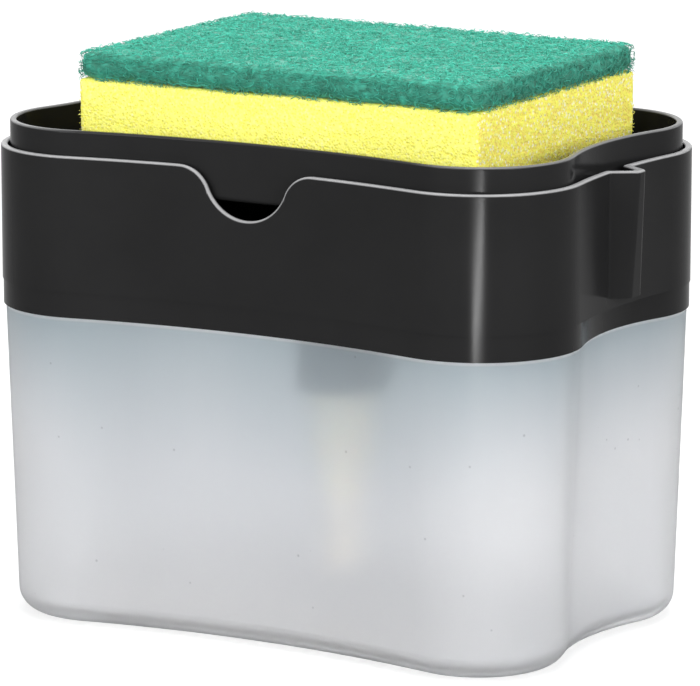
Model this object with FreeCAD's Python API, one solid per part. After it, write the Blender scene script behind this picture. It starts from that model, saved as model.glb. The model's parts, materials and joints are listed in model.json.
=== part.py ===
import FreeCAD, Part
import math
import os

# Soap pump caddy, in millimetres: +Z up, +X along its length, origin under the middle of its foot.

# Plan: four round lobes, and a shallow hollow along each side
plan_length = 135.0
plan_depth = 91.7
lobe_radius = 21.75
side_hollow = 4.7
end_hollow = 4.0

# Reservoir
reservoir_height = 67.4
reservoir_floor = 2.2
reservoir_wall = 2.2
foot_inset = 2.9
foot_round = 5.0
foot_inner_round = 2.8
shoulder_inset = 0.7
neck_height = 5.0
neck_wall = 1.4

# Collar that slips over the neck
collar_height = 34.4
collar_wall = 1.5
collar_end_hollow = 1.9
band_height = 5.4
band_inset = 0.2
lid_clearance = 0.3
ledge_thickness = 1.6
plug_depth = 4.35
plug_wall = 1.5
deck_thickness = 1.8
rim_round = 0.5

# Finger notches in the collar's rim
notch_depth = 10.7
notch_bottom_radius = 10.0
notch_rim_radius = 7.3

# Guide channels at the collar's ends, and the tray's ribs in them
channel_depth = 5.2
channel_base = 9.8
channel_tip = 3.0
channel_lean = 1.3
channel_rise = 2.4
channel_round = 1.4
channel_root_round = 0.7
guide_clearance = 0.4
guide_height = 6.2

# Press tray
tray_rise = 5.25
tray_height = 12.6
tray_clearance = 0.5
tray_wall = 1.4
tray_floor = 1.5
tray_end_hollow = 3.4
tray_round = 1.2
tray_inner_round = 1.0
floor_rib_rows = 3
floor_rib_height = 1.5
floor_rib_width = 1.6
floor_rib_round = 0.5
floor_rib_end_gap = 15.5
floor_rib_side_gap = 7.7
floor_rib_cap_gap = 1.7
drain_count = 3
drain_width = 3.0
drain_length = 10.0
drain_pitch = 14.0
drain_gap = 5.0
socket_wall = 2.0
socket_length = 6.0

# Outlet cap in the tray's floor
cap_radius = 7.5
cap_thickness = 1.0
cap_round = 0.4
cap_skirt_length = 1.2
cap_skirt_wall = 0.8
cap_hole_count = 5
cap_hole_radius = 0.55
cap_hole_ring_radius = 1.9

# Sponge
foam_height = 19.0
pad_height = 5.85
sponge_end_gap = 12.6
sponge_side_gap = 2.8
sponge_shift = 3.0
sponge_seat_gap = 0.3
sponge_corner_radius = 3.0

# Pump mounting under the deck
boss_length = 15.1
boss_radius = 8.2
gasket_thickness = 1.2
flange_thickness = 1.5
nut_height = 15.5
nut_web = 1.6
nut_wall = 1.9
nut_grooves = 20
nut_groove_radius = 0.9
nut_groove_depth = 0.5
thread_clearance = 0.1

# Pump
press_stroke = 8.0
bore_radius = 4.8
housing_wall = 1.4
shoulder_radius = 7.0
shoulder_length = 6.0
chaplet_flange = 1.2
chaplet_sleeve = 5.0
stem_radius = 4.0
stem_bore_radius = 2.0
piston_height = 4.0
piston_wall = 1.7
piston_waist = 0.45
piston_lip = 1.0
stop_gap = 0.3
seat_flange = 1.0
seat_spigot = 5.0
seat_skirt = 2.0
seat_bore_radius = 1.1
spring_radius = 3.6
spring_wire = 0.7
spring_turns = 7
spring_reserve = 5.1
cage_thickness = 1.2
cage_slots = 3
ball_radius = 2.4
ball_clearance = 0.1
ball_side_gap = 0.6
ball_lift = 1.5
ball_top_gap = 0.2
valve_hole_radius = 1.6
valve_land = 1.2
tube_radius = 3.4
tube_wall = 0.9
tube_socket = 5.0
tail_wall = 0.9
dip_gap = 6.0
dip_cut = 2.5

# Fits: fixed pieces, running pieces, loose holes, the overrun of every cutter, and what counts as level
fit_gap = 0.05
running_gap = 0.08
hole_gap = 0.6
overrun = 5.0
touch = 0.001

# Heights worked out from the sizes above
shoulder_z = reservoir_height
neck_top_z = shoulder_z + neck_height
step_z = shoulder_z + band_height
channel_z = step_z + channel_rise
ledge_z = neck_top_z + lid_clearance
ledge_top_z = ledge_z + ledge_thickness
deck_z = ledge_z - plug_depth
deck_top_z = deck_z + deck_thickness
rim_z = shoulder_z + collar_height
tray_rim_z = rim_z + tray_rise
tray_z = tray_rim_z - tray_height
tray_floor_z = tray_z + tray_floor
foam_z = tray_floor_z + floor_rib_height + sponge_seat_gap
pad_z = foam_z + foam_height

boss_z = deck_z - boss_length
flange_top_z = boss_z - gasket_thickness
flange_z = flange_top_z - flange_thickness
nut_z = flange_z - nut_web
housing_top_z = deck_z - fit_gap - chaplet_flange
piston_top_z = housing_top_z - chaplet_sleeve - stop_gap
piston_z = piston_top_z - piston_height
seat_z = piston_z - seat_flange
spring_length = press_stroke + spring_turns * spring_wire + spring_reserve
cage_top_z = seat_z - spring_length
cage_z = cage_top_z - cage_thickness

# A ball on a cone of 45 degrees: height of its centre and of its top above the cone's lower edge
ball_rise = math.sqrt(2) * (ball_radius + ball_clearance) - valve_hole_radius
valve_height = ball_rise + ball_radius + ball_lift + ball_top_gap
chamber_radius = ball_radius + ball_side_gap
inlet_seat_z = cage_z - valve_height
outlet_seat_z = tray_floor_z - valve_height
tube_top_z = inlet_seat_z - valve_land
tail_z = tube_top_z - tube_socket
tube_z = reservoir_floor + dip_gap
stem_top_z = tray_floor_z - cap_skirt_length - fit_gap

# Insets and radii shared by pieces that fit each other
band_inner_inset = band_inset + collar_wall
neck_inset = band_inner_inset + lid_clearance
neck_inner_inset = neck_inset + neck_wall
plug_inset = neck_inner_inset + lid_clearance
pan_inset = plug_inset + plug_wall
tray_inset = collar_wall + tray_clearance
tray_inner_inset = tray_inset + tray_wall
housing_radius = bore_radius + housing_wall
nut_inner_radius = boss_radius + thread_clearance
tail_radius = tube_radius + fit_gap + tail_wall
socket_radius = stem_radius + fit_gap
piston_radius = bore_radius - running_gap
piston_inner_radius = piston_radius - piston_wall
tray_inner_half_length = plan_length / 2 - tray_end_hollow - tray_inner_inset
tray_inner_half_depth = plan_depth / 2 - side_hollow - tray_inner_inset


def vector(x, y, z=0.0):
    return FreeCAD.Vector(x, y, z)


def plan_wire(inset, hollow, z):
    """Closed outline of eight tangent arcs, set in from the caddy's plan, at height z."""
    lobe = lobe_radius - inset
    x = plan_length / 2 - lobe_radius
    y = plan_depth / 2 - lobe_radius
    end_radius = y ** 2 / (2 * hollow) - lobe + hollow / 2
    side_radius = x ** 2 / (2 * side_hollow) - lobe + side_hollow / 2
    to_end = vector(lobe - hollow + end_radius, -y).normalize()
    to_side = vector(-x, lobe - side_hollow + side_radius).normalize()
    centre = vector(x, y)
    end_touch = centre + to_end * lobe
    side_touch = centre + to_side * lobe
    lobe_middle = centre + (to_end + to_side).normalize() * lobe
    end_middle = vector(x + lobe - hollow, 0)
    side_middle = vector(0, y + lobe - side_hollow)

    def placed(point, side_x, side_y):
        return vector(point.x * side_x, point.y * side_y, z)

    edges = []
    for side_x, side_y in ((1, 1), (-1, 1), (-1, -1), (1, -1)):
        lobe_points = [placed(p, side_x, side_y) for p in (end_touch, lobe_middle, side_touch)]
        if side_x * side_y > 0:
            hollow_points = [placed(side_touch, side_x, side_y), placed(side_middle, side_x, side_y),
                             placed(side_touch, -side_x, side_y)]
        else:
            lobe_points.reverse()
            hollow_points = [placed(end_touch, side_x, side_y), placed(end_middle, side_x, side_y),
                             placed(end_touch, side_x, -side_y)]
        edges.append(Part.Arc(*lobe_points).toShape())
        edges.append(Part.Arc(*hollow_points).toShape())
    return Part.Wire(edges)


def plan_prism(inset, hollow, low, high):
    """Straight-sided solid of the plan outline between two heights."""
    return Part.Face(plan_wire(inset, hollow, low)).extrude(vector(0, 0, high - low))


def plan_taper(low_inset, low, high_inset, high):
    """Solid whose outline changes its inset evenly between two heights."""
    wires = [plan_wire(low_inset, end_hollow, low), plan_wire(high_inset, end_hollow, high)]
    return Part.makeLoft(wires, True, True)


def turned(points):
    """Solid turned about the Z axis from corner points of (radius, height)."""
    corners = [vector(radius, 0, z) for radius, z in points]
    outline = Part.makePolygon(corners + corners[:1])
    return Part.Face(outline).revolve(vector(0, 0), vector(0, 0, 1), 360)


def ring(outer, inner, low, high):
    """Plain tube or washer."""
    return turned([(inner, low), (outer, low), (outer, high), (inner, high)])


def disc(radius, low, high):
    """Plain cylinder on the Z axis."""
    return Part.makeCylinder(radius, high - low, vector(0, 0, low))


def level_edges(shape, z):
    """Edges that lie flat at height z."""
    return [edge for edge in shape.Edges
            if abs(edge.BoundBox.ZMin - z) < touch and abs(edge.BoundBox.ZMax - z) < touch]


def channel_wire(side, inset, root, lean, z):
    """Guide channel's outline, its tip cut back by lean, set in from its faces, back to root, at z."""
    slope = (channel_base - channel_tip) / (2 * channel_depth)
    tip = plan_length / 2 - collar_end_hollow + channel_depth - lean - inset
    tip_half = channel_tip / 2 + slope * (lean + inset) - inset * math.hypot(1, slope)
    root_half = tip_half + slope * (tip - root)
    corners = [(tip, -tip_half), (tip, tip_half), (root, root_half), (root, -root_half)]
    points = [vector(side * x, y, z) for x, y in corners]
    return Part.makePolygon(points + points[:1])


def groove_bar(side, inset, root, low, high):
    """Straight bar of the channel's outline at the middle of its height, set in from its faces."""
    outline = channel_wire(side, inset, root, channel_lean / 2, low)
    return Part.Face(outline).extrude(vector(0, 0, high - low))


def reservoir():
    """Open container with tapered walls, a rounded foot and a thinner neck."""
    body = plan_taper(foot_inset, 0, shoulder_inset, shoulder_z)
    body = body.makeFillet(foot_round, level_edges(body, 0))
    neck = plan_prism(neck_inset, end_hollow, shoulder_z, neck_top_z)
    hollow = plan_taper(foot_inset + reservoir_wall, reservoir_floor, neck_inner_inset, shoulder_z)
    hollow = hollow.makeFillet(foot_inner_round, level_edges(hollow, reservoir_floor))
    mouth = plan_prism(neck_inner_inset, end_hollow, shoulder_z, neck_top_z + overrun)
    return body.fuse(neck).cut(hollow.fuse(mouth))


def notch_cutter():
    """Round-bottomed notch, eased into the rim, right through both long sides."""
    rise = notch_bottom_radius + notch_rim_radius - notch_depth
    reach = notch_bottom_radius + notch_rim_radius
    half = math.sqrt(reach ** 2 - rise ** 2)
    bottom = vector(0, 0, rim_z - notch_depth)
    touch_x = half * notch_bottom_radius / reach
    touch_z = rim_z - notch_rim_radius + rise * notch_rim_radius / reach
    swing = math.atan2(rise, half)
    lean = (math.pi / 2 + swing) / 2
    eased_x = half - notch_rim_radius * math.cos(lean)
    eased_z = rim_z - notch_rim_radius + notch_rim_radius * math.sin(lean)
    top_z = rim_z + overrun
    corners = [vector(side * half, 0, rim_z) for side in (-1, 1)]
    eased = [vector(side * eased_x, 0, eased_z) for side in (-1, 1)]
    touches = [vector(side * touch_x, 0, touch_z) for side in (-1, 1)]
    tops = [vector(side * half, 0, top_z) for side in (-1, 1)]
    edges = [
        Part.Arc(corners[0], eased[0], touches[0]).toShape(),
        Part.Arc(touches[0], bottom, touches[1]).toShape(),
        Part.Arc(touches[1], eased[1], corners[1]).toShape(),
        Part.makeLine(corners[1], tops[1]),
        Part.makeLine(tops[1], tops[0]),
        Part.makeLine(tops[0], corners[0]),
    ]
    profile = Part.Face(Part.Wire(edges))
    profile.translate(vector(0, -plan_depth / 2, 0))
    return profile.extrude(vector(0, plan_depth, 0))


def channel_edges(shape, at_tip):
    """Upright edges of the guide channels, at their tips or at their roots."""
    found = []
    for edge in shape.Edges:
        middle = edge.CenterOfMass
        upright = edge.BoundBox.ZLength > channel_rise and abs(middle.y) < channel_base
        if upright and (abs(middle.x) > plan_length / 2) == at_tip:
            found.append(edge)
    return found


def collar():
    """Upper moulding: wall with guide channels and notches, ledge, plug, deck and neck boss."""
    top_z = rim_z + overrun
    groove_z = channel_z + collar_wall
    wall_root = plan_length / 2 - collar_end_hollow - collar_wall
    wall = plan_prism(0, collar_end_hollow, step_z, rim_z)
    well = plan_prism(collar_wall, collar_end_hollow, ledge_top_z, top_z)
    for side in (-1, 1):
        ends = [(channel_lean, channel_z), (0, rim_z)]
        outlines = [channel_wire(side, 0, wall_root, lean, z) for lean, z in ends]
        wall = wall.fuse(Part.makeLoft(outlines, True, True))
        well = well.fuse(groove_bar(side, collar_wall, wall_root - collar_wall, groove_z, top_z))
    wall = wall.makeFillet(channel_round, channel_edges(wall, True))
    wall = wall.makeFillet(channel_root_round, channel_edges(wall, False))
    body = plan_prism(band_inset, end_hollow, shoulder_z, step_z).fuse(wall)
    pan = plan_prism(pan_inset, end_hollow, deck_top_z, ledge_top_z)
    neck_pocket = plan_prism(band_inner_inset, end_hollow, shoulder_z - overrun, ledge_z)
    plug = plan_prism(plug_inset, end_hollow, deck_z, ledge_z)
    body = body.cut(well).cut(pan).cut(neck_pocket.cut(plug)).cut(notch_cutter())
    boss = disc(boss_radius, boss_z, deck_z)
    boss_bore = disc(housing_radius + fit_gap, boss_z - overrun, deck_z)
    stem_hole = disc(stem_radius + hole_gap, deck_z - overrun, deck_top_z + overrun)
    body = body.fuse(boss).cut(boss_bore.fuse(stem_hole)).removeSplitter()
    return body.makeFillet(rim_round, level_edges(body, rim_z))


def pump_gasket():
    """Flat seal between the neck boss and the housing's flange."""
    return ring(boss_radius, housing_radius + fit_gap, flange_top_z, boss_z)


def pump_nut():
    """Union nut with grip grooves that clamps the housing's flange to the neck boss."""
    outer = nut_inner_radius + nut_wall
    body = disc(outer, nut_z, nut_z + nut_height)
    groove_ring = outer + nut_groove_radius - nut_groove_depth
    for index in range(nut_grooves):
        angle = 2 * math.pi * index / nut_grooves
        low = vector(groove_ring * math.cos(angle), groove_ring * math.sin(angle), nut_z - overrun)
        body = body.cut(Part.makeCylinder(nut_groove_radius, nut_height + 2 * overrun, low))
    bore = disc(nut_inner_radius, flange_z, nut_z + nut_height + overrun)
    mouth = disc(shoulder_radius + hole_gap, nut_z - overrun, flange_z + overrun)
    return body.cut(bore.fuse(mouth))


def pump_housing():
    """Pump cylinder: barrel in the boss, clamping flange, tapered body, ball chamber and tube socket."""
    cone_z = inlet_seat_z + chamber_radius - valve_hole_radius
    socket = tube_radius + fit_gap
    shoulder_end = flange_z - shoulder_length
    body_end = shoulder_end - (shoulder_radius - housing_radius) * shoulder_length
    return turned([
        (bore_radius, housing_top_z),
        (housing_radius, housing_top_z),
        (housing_radius, flange_top_z),
        (boss_radius, flange_top_z),
        (boss_radius, flange_z),
        (shoulder_radius, flange_z),
        (shoulder_radius, shoulder_end),
        (housing_radius, body_end),
        (housing_radius, cage_z),
        (tail_radius, tube_top_z),
        (tail_radius, tail_z),
        (socket, tail_z),
        (socket, tube_top_z),
        (valve_hole_radius, tube_top_z),
        (valve_hole_radius, inlet_seat_z),
        (chamber_radius, cone_z),
        (chamber_radius, cage_z),
        (bore_radius, cage_z),
    ])


def chaplet():
    """Cap in the top of the barrel that guides the stem and stops the piston."""
    guide = stem_radius + running_gap
    sleeve = bore_radius - fit_gap
    sleeve_z = housing_top_z - chaplet_sleeve
    top_z = housing_top_z + chaplet_flange
    return turned([
        (guide, sleeve_z),
        (sleeve, sleeve_z),
        (sleeve, housing_top_z),
        (housing_radius, housing_top_z),
        (housing_radius, top_z),
        (guide, top_z),
    ])


def stem():
    """Hollow rod from the piston up to the tray's socket, with the outlet valve in its top."""
    spigot = piston_inner_radius - fit_gap
    cone_z = outlet_seat_z + chamber_radius - valve_hole_radius
    return turned([
        (stem_bore_radius, piston_z),
        (spigot, piston_z),
        (spigot, piston_top_z),
        (stem_radius, piston_top_z),
        (stem_radius, stem_top_z),
        (chamber_radius, stem_top_z),
        (chamber_radius, cone_z),
        (valve_hole_radius, outlet_seat_z),
        (valve_hole_radius, outlet_seat_z - valve_land),
        (stem_bore_radius, outlet_seat_z - valve_land),
    ])


def piston():
    """Seal with a lip at each end, running in the barrel."""
    waist = piston_radius - piston_waist
    return turned([
        (piston_inner_radius, piston_z),
        (piston_radius, piston_z),
        (piston_radius, piston_z + piston_lip),
        (waist, piston_z + piston_lip),
        (waist, piston_top_z - piston_lip),
        (piston_radius, piston_top_z - piston_lip),
        (piston_radius, piston_top_z),
        (piston_inner_radius, piston_top_z),
    ])


def piston_seat():
    """Hollow pin pushed into the stem, which holds the piston up and centres the spring."""
    spigot = stem_bore_radius - fit_gap
    skirt = spring_radius - spring_wire
    flange = piston_radius - piston_waist
    return turned([
        (seat_bore_radius, seat_z - seat_skirt),
        (skirt, seat_z - seat_skirt),
        (skirt, seat_z),
        (flange, seat_z),
        (flange, piston_z),
        (spigot, piston_z),
        (spigot, piston_z + seat_spigot),
        (seat_bore_radius, piston_z + seat_spigot),
    ])


def arc_between(start, corner, end):
    """Circular arc from start to end, tangent to the two equal legs that meet at corner."""
    chord_middle = (start + end) * 0.5
    to_corner = corner - chord_middle
    half_chord = (end - start).Length / 2
    sagitta = half_chord * math.tan(math.atan2(to_corner.Length, half_chord) / 2)
    return Part.Arc(start, chord_middle + to_corner.normalize() * sagitta, end).toShape()


def biarc(start, start_way, end, end_way):
    """Two arcs that leave start and reach end along the given unit directions."""
    across = end - start
    both = start_way + end_way
    spread = 2 * (1 - start_way.dot(end_way))
    reach = across.dot(both)
    leg = (math.sqrt(reach ** 2 + spread * across.dot(across)) - reach) / spread
    first = start + start_way * leg
    second = end - end_way * leg
    middle = (first + second) * 0.5
    return [arc_between(start, first, middle), arc_between(middle, second, end)]


def return_spring():
    """Coil spring of round wire between the ball cage and the piston seat."""
    low = cage_top_z + spring_wire / 2 + fit_gap
    pitch = (spring_length - spring_wire - 2 * fit_gap) / spring_turns
    quarters = 4 * spring_turns

    def point(quarter):
        angle = quarter * math.pi / 2
        z = low + pitch * quarter / 4
        return vector(spring_radius * math.cos(angle), spring_radius * math.sin(angle), z)

    def way(quarter):
        angle = quarter * math.pi / 2
        along = spring_radius * 2 * math.pi
        return vector(-along * math.sin(angle), along * math.cos(angle), pitch).normalize()

    edges = []
    for quarter in range(quarters):
        edges += biarc(point(quarter), way(quarter), point(quarter + 1), way(quarter + 1))
    section = Part.Wire(Part.makeCircle(spring_wire / 2, point(0), way(0)))
    gap = min((point(q + 4) - point(q)).Length for q in range(quarters - 3)) - spring_wire
    print("least gap between the spring's turns:", round(gap, 3), "mm")
    return Part.Wire(edges).makePipeShell([section], True, False)


def ball_cage():
    """Slotted ring that the spring stands on and that keeps the inlet ball in its chamber."""
    outer = bore_radius - fit_gap
    body = ring(outer, valve_hole_radius, cage_z, cage_top_z)
    for index in range(cage_slots):
        slot = Part.makeBox(chamber_radius, valve_hole_radius, cage_thickness + 2 * overrun)
        slot.translate(vector(0, -valve_hole_radius / 2, cage_z - overrun))
        slot.rotate(vector(0, 0), vector(0, 0, 1), 360 * index / cage_slots)
        body = body.cut(slot)
    return body


def check_ball(seat):
    """Check ball just clear of the cone whose lower edge is at the given height."""
    return Part.makeSphere(ball_radius, vector(0, 0, seat + ball_rise))


def dip_tube():
    """Suction tube from the housing's tail to just above the reservoir's floor, cut aslant there."""
    tube = ring(tube_radius, tube_radius - tube_wall, tube_z, tube_top_z - fit_gap)
    corners = [(-tube_radius, tube_z), (tube_radius, tube_z), (tube_radius, tube_z + dip_cut)]
    points = [vector(x, -tube_radius, z) for x, z in corners]
    wedge = Part.Face(Part.makePolygon(points + points[:1])).extrude(vector(0, 2 * tube_radius, 0))
    return tube.cut(wedge)


def drain_slot(x, y):
    """Upright cutter for one round-ended slot through the tray's floor."""
    straight = (drain_length - drain_width) / 2
    low = tray_z - overrun
    depth = tray_floor + 2 * overrun
    bar = Part.makeBox(drain_width, 2 * straight, depth, vector(x - drain_width / 2, y - straight, low))
    for end in (-straight, straight):
        bar = bar.fuse(Part.makeCylinder(drain_width / 2, depth, vector(x, y + end, low)))
    return bar


def floor_rib(half_length, y):
    """Raised rib with a rounded top, standing up through the tray's floor."""
    corner = vector(-half_length, y - floor_rib_width / 2, tray_z + tray_floor / 2)
    rib = Part.makeBox(2 * half_length, floor_rib_width, tray_floor / 2 + floor_rib_height, corner)
    return rib.makeFillet(floor_rib_round, level_edges(rib, tray_floor_z + floor_rib_height))


def press_tray():
    """Sponge tray: wall, ribbed floor with drain slots, guide ribs and a socket for the stem."""
    body = plan_prism(tray_inset, tray_end_hollow, tray_z, tray_rim_z)
    body = body.makeFillet(tray_round, level_edges(body, tray_z))
    guide_root = tray_inner_half_length + tray_wall / 2
    guide_inset = collar_wall + guide_clearance
    for side in (-1, 1):
        body = body.fuse(groove_bar(side, guide_inset, guide_root, tray_z, tray_z + guide_height))
    hollow = plan_prism(tray_inner_inset, tray_end_hollow, tray_floor_z, tray_rim_z + overrun)
    body = body.cut(hollow.makeFillet(tray_inner_round, level_edges(hollow, tray_floor_z)))
    rib_half = tray_inner_half_length - floor_rib_end_gap
    first_rib = cap_radius + floor_rib_cap_gap + floor_rib_width / 2
    rib_pitch = (tray_inner_half_depth - floor_rib_side_gap - first_rib) / (floor_rib_rows - 1)
    for row in range(floor_rib_rows):
        for side in (-1, 1):
            body = body.fuse(floor_rib(rib_half, side * (first_rib + row * rib_pitch)))
    for side in (-1, 1):
        for index in range(drain_count):
            y = (index - (drain_count - 1) / 2) * drain_pitch
            body = body.cut(drain_slot(side * (rib_half + drain_gap), y))
    body = body.fuse(disc(socket_radius + socket_wall, tray_z - socket_length, tray_floor_z))
    socket = disc(socket_radius, tray_z - socket_length - overrun, tray_floor_z + overrun)
    body = body.cut(socket).removeSplitter()
    return body.makeFillet(rim_round, level_edges(body, tray_rim_z))


def outlet_cap():
    """Pierced cap pushed into the top of the socket, over the outlet ball."""
    skirt = socket_radius - fit_gap
    body = disc(cap_radius, tray_floor_z, tray_floor_z + cap_thickness)
    body = body.makeFillet(cap_round, level_edges(body, tray_floor_z + cap_thickness))
    body = body.fuse(ring(skirt, skirt - cap_skirt_wall, tray_floor_z - cap_skirt_length, tray_floor_z))
    for index in range(cap_hole_count):
        angle = 2 * math.pi * index / cap_hole_count
        x = cap_hole_ring_radius * math.cos(angle)
        y = cap_hole_ring_radius * math.sin(angle)
        low = vector(x, y, tray_floor_z - overrun)
        body = body.cut(Part.makeCylinder(cap_hole_radius, cap_thickness + 2 * overrun, low))
    return body


def sponge_block(low, height):
    """Layer of the sponge with rounded upright edges."""
    length = 2 * (tray_inner_half_length - sponge_end_gap)
    depth = 2 * (tray_inner_half_depth - sponge_side_gap)
    corner = vector(sponge_shift - length / 2, -depth / 2, low)
    block = Part.makeBox(length, depth, height, corner)
    upright = [edge for edge in block.Edges if edge.BoundBox.ZLength > height / 2]
    return block.makeFillet(sponge_corner_radius, upright)


def write_parts():
    """Build every piece and write it to its own file."""
    pieces = {
        "reservoir": reservoir(),
        "collar": collar(),
        "pump_gasket": pump_gasket(),
        "pump_nut": pump_nut(),
        "pump_housing": pump_housing(),
        "chaplet": chaplet(),
        "ball_cage": ball_cage(),
        "return_spring": return_spring(),
        "dip_tube": dip_tube(),
        "press_tray": press_tray(),
        "outlet_cap": outlet_cap(),
        "stem": stem(),
        "piston": piston(),
        "piston_seat": piston_seat(),
        "inlet_ball": check_ball(inlet_seat_z),
        "outlet_ball": check_ball(outlet_seat_z),
        "sponge_foam": sponge_block(foam_z, foam_height),
        "scouring_pad": sponge_block(pad_z, pad_height),
    }
    os.makedirs("parts", exist_ok=True)
    for name, shape in pieces.items():
        print(name, shape.ShapeType, len(shape.Solids), shape.isValid(), round(shape.Volume, 2))
        shape.exportStep(os.path.join("parts", name + ".step"))


write_parts()
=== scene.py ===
"""Soap pump caddy: finishes, sponge, spring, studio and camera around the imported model."""

import json
import math
import random

import bmesh
import bpy
from mathutils import Matrix, Vector, noise

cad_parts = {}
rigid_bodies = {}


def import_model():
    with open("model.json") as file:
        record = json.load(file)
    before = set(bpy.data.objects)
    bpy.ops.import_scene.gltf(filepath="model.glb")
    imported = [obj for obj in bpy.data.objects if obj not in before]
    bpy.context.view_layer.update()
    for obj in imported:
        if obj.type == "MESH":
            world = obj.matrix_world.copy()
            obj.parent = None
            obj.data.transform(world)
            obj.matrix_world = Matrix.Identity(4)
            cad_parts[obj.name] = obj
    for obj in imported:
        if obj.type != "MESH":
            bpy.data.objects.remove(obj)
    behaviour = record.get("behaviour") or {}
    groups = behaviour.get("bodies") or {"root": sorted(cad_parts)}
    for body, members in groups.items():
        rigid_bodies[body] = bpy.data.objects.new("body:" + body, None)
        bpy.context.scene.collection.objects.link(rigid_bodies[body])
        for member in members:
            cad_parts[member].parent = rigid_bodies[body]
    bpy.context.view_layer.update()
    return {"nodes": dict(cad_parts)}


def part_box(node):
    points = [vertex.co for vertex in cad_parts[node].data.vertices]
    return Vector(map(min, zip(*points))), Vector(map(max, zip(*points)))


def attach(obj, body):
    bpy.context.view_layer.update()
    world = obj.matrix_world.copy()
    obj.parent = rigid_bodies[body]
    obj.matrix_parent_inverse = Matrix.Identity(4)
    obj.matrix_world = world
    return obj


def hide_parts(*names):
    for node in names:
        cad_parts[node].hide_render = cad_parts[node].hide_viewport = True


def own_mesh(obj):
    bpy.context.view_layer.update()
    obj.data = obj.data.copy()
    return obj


bl_info = {
    "name": "Soap pump caddy",
    "version": (1, 0, 0),
    "blender": (4, 5, 0),
    "location": "View3D > Sidebar > Caddy",
    "description": "Dresses the soap pump caddy with its finishes, sponge, spring and studio",
    "category": "Object",
}

for stray in list(bpy.data.objects):
    bpy.data.objects.remove(stray, do_unlink=True)
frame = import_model()
MM = 0.001

# Lines and places that the finishes follow, as in the part's source
NOTCH_DEPTH = 10.7 * MM
NOTCH_BOTTOM_RADIUS = 10.0 * MM
NOTCH_RIM_RADIUS = 7.3 * MM
SHOULDER_Z = 67.4 * MM
SIDE_HOLLOW = 4.7 * MM
SIDE_RADIUS = 203.3 * MM
# Widths and reach of the painted highlights along the collar's rim and notch edges and along the
# tray's rim
RIM_LINE = 0.46 * MM
TRAY_LINE = 0.4 * MM
TRAY_LINE_START, TRAY_LINE_FULL = 40 * MM, 54 * MM
NOTCH_FACE_START, NOTCH_FACE_FULL = 0.9 * MM, 0.5 * MM
# Where the painted highlight along the reservoir's shoulder begins and is full
SEAM_START, SEAM_FULL = SHOULDER_Z - 0.9 * MM, SHOULDER_Z - 0.5 * MM
LOBE_START, LOBE_FULL = 34 * MM, 62 * MM

# Fixed colours
# Painted highlight along the reservoir's shoulder
SEAM_HIGHLIGHT = (0.95, 0.96, 0.97, 1.0)
SPECK_GREY = (0.25, 0.26, 0.27, 1.0)
TUBE_COLOURS = ((0.93, 0.85, 0.73, 1.0), (0.95, 0.885, 0.79, 1.0))
RUBBER_COLOURS = ((0.62, 0.61, 0.56, 1.0), (0.74, 0.73, 0.68, 1.0))
STEEL_COLOURS = ((0.55, 0.55, 0.56, 1.0), (0.72, 0.72, 0.73, 1.0))
FOAM_PALE = (1.0, 0.97, 0.22, 1.0)
# Painted sparkle of highlights on the foam's cells
FOAM_GLINT = (1.0, 0.98, 0.70, 1.0)
# Painted glint on the pad's lightest fibres
FIBRE_GLINT = (0.19, 0.75, 0.59, 1.0)

# Sponge and spring
FOAM_SKIN = 0.15 * MM
FOAM_WAVE_LENGTH, FOAM_WAVE = 16.0 * MM, 0.30 * MM
PORE_LAYERS = ((0.55, 1.0, 0.0), (0.45, 0.55, 7.3))
PORE_RADIUS, PORE_WALL = 0.62, 0.35
STRUT_ROOT = 0.3 * MM
STRUT_END = 0.2 * MM
STRUT_LEAN = 0.30 * MM
STRUT_REACH = (0.10, 0.40)
STRUT_RADII = (0.09 * MM, 0.06 * MM, 0.015 * MM)
PAD_SKIN = 0.25 * MM
PAD_LUMP_LENGTH, PAD_LUMP = 4.5 * MM, 0.22 * MM
PAD_TANGLE_LENGTH, PAD_TANGLE = 1.1 * MM, 0.24 * MM
PAD_FUZZ = 0.5 * MM
# Painted shade of the pad's core: raised tangles lighter, the sides darker, most towards the foot
CORE_SHADE, CORE_TANGLE_SHADE = 0.34, 0.5
CORE_FOOT_SHADE, CORE_RISE_SHADE = 0.44, 0.36
FIBRE_LENGTHS = (1.6, 4.2)
FIBRE_THICKNESS = (0.7, 1.3)
FIBRE_BEND = 2.2
FIBRE_STEPS = 4
FIBRE_TIP = 0.55
FIBRE_SHADE_SPREAD = 0.20
# Painted shade of the loose fibres: the sides darker, the face lighter and its loops lighter still
SIDE_SHADE, TOP_SHADE, LOOP_SHADE = 0.22, 0.56, 0.06
SIDE_MARGIN, TOP_MARGIN = 0.8 * MM, 1.0 * MM
SIDE_DEPTHS, TOP_DEPTHS = (0.1, 0.5), (0.10, 0.45)
SIDE_LIFTS, TOP_LIFTS, LOOP_LIFTS = (-0.15, 0.40), (-0.10, 0.30), (0.25, 0.75)
SPRING_STEPS = 20
CLOSED_PITCH = 1.04

# Studio
FLOOR_DROP = 0.2 * MM
FLOOR_SEEN, FLOOR_MIRRORED = 0.66, 0.03
LIGHT_AIM = Vector((0.0, 0.0, 0.07))
SOFT_LIGHTS = (
    ("key_light", (-0.25, -1.45, 0.48), (0.9, 0.5), 14.8),
    ("side_light", (1.40, -0.45, 0.50), (0.8, 0.5), 14.2),
    ("top_light", (0.10, 0.05, 1.55), (1.1, 0.8), 18.5),
    ("fill_light", (-1.10, 1.00, 0.80), (1.0, 0.8), 3.0),
)
STRIP_NEAR, STRIP_FAR = Vector((0.185, -0.364, 2 * MM)), Vector((0.335, -0.483, 2 * MM))
STRIP_WIDTH, STRIP_POWER = 9 * MM, 3.2
SENSOR_WIDTH = 36.0

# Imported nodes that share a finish
IVORY_NODES = ("pump_housing", "chaplet", "ball_cage", "stem", "piston_seat")
RUBBER_NODES = ("pump_gasket", "piston")
BALL_NODES = ("inlet_ball", "outlet_ball")


# Properties that a user would change


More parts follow.
